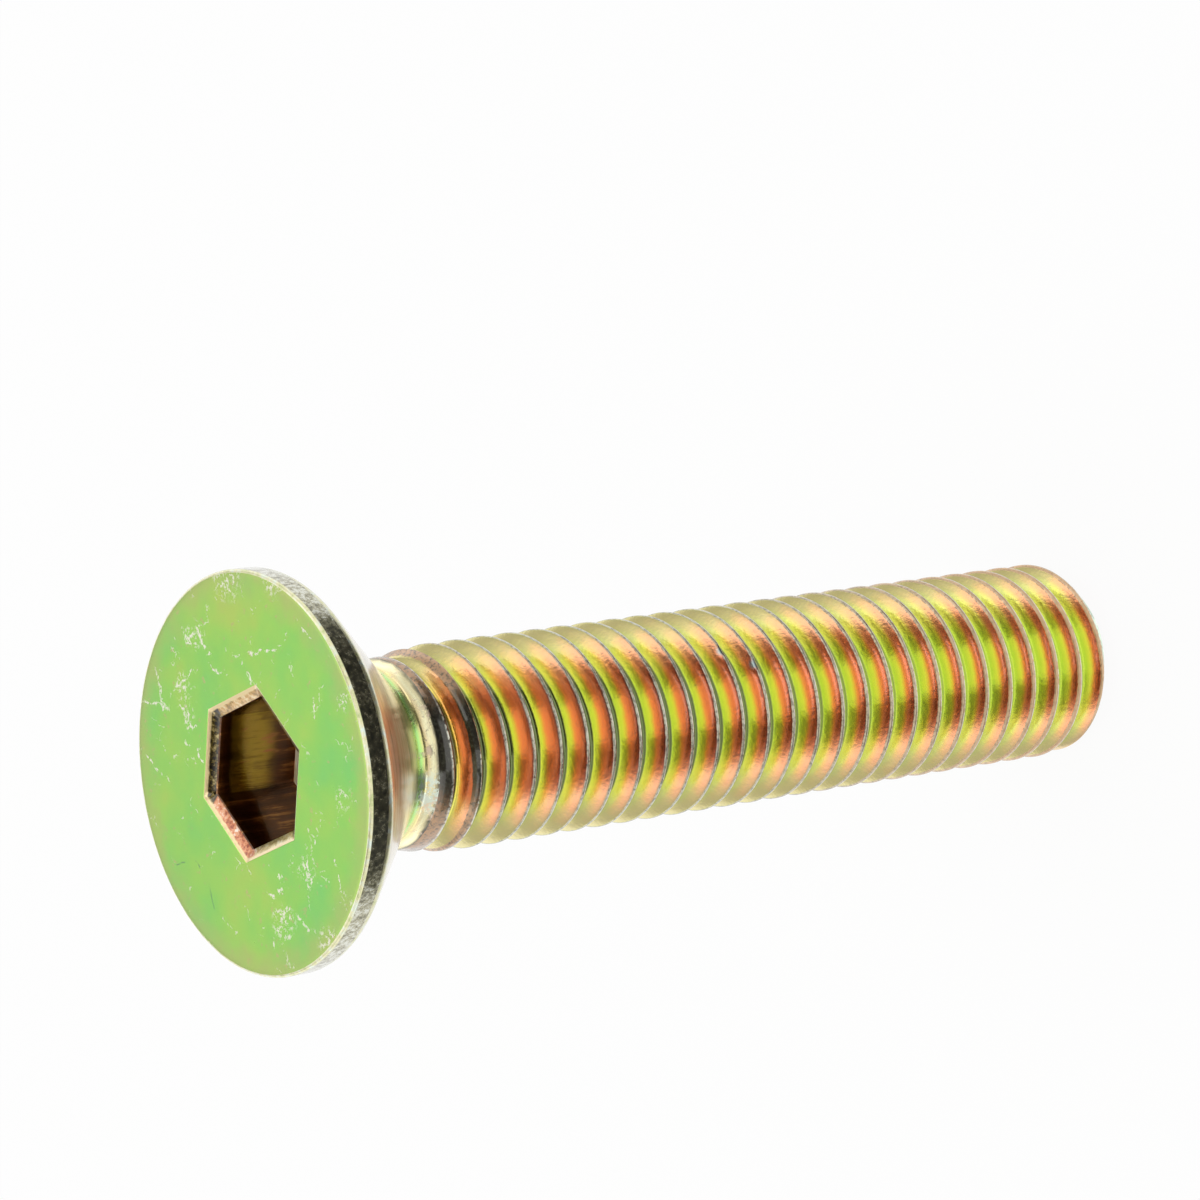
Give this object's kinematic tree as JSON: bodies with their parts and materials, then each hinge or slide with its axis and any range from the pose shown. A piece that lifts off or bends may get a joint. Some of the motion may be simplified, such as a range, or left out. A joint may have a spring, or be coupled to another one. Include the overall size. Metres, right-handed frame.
{
  "type": "countersunk socket screw",
  "caption": "Steel countersunk screw with a flat head, a hexagonal socket, a full-length rolled metric thread and a flat bevelled tip.",
  "frame": {"origin": "middle of the head's flat face, on the screw's axis", "axes": "+Z along the axis, out of the head; the screw stands on its tip; +X square to two flats of the socket"},
  "size_m": [0.015, 0.015, 0.0395],
  "materials": {
    "plated_steel": "zinc plated with a yellow chromate film that shifts from green through gold to copper"
  },
  "bodies": {
    "root": {"screw": "plated_steel"}
  },
  "joints": []
}
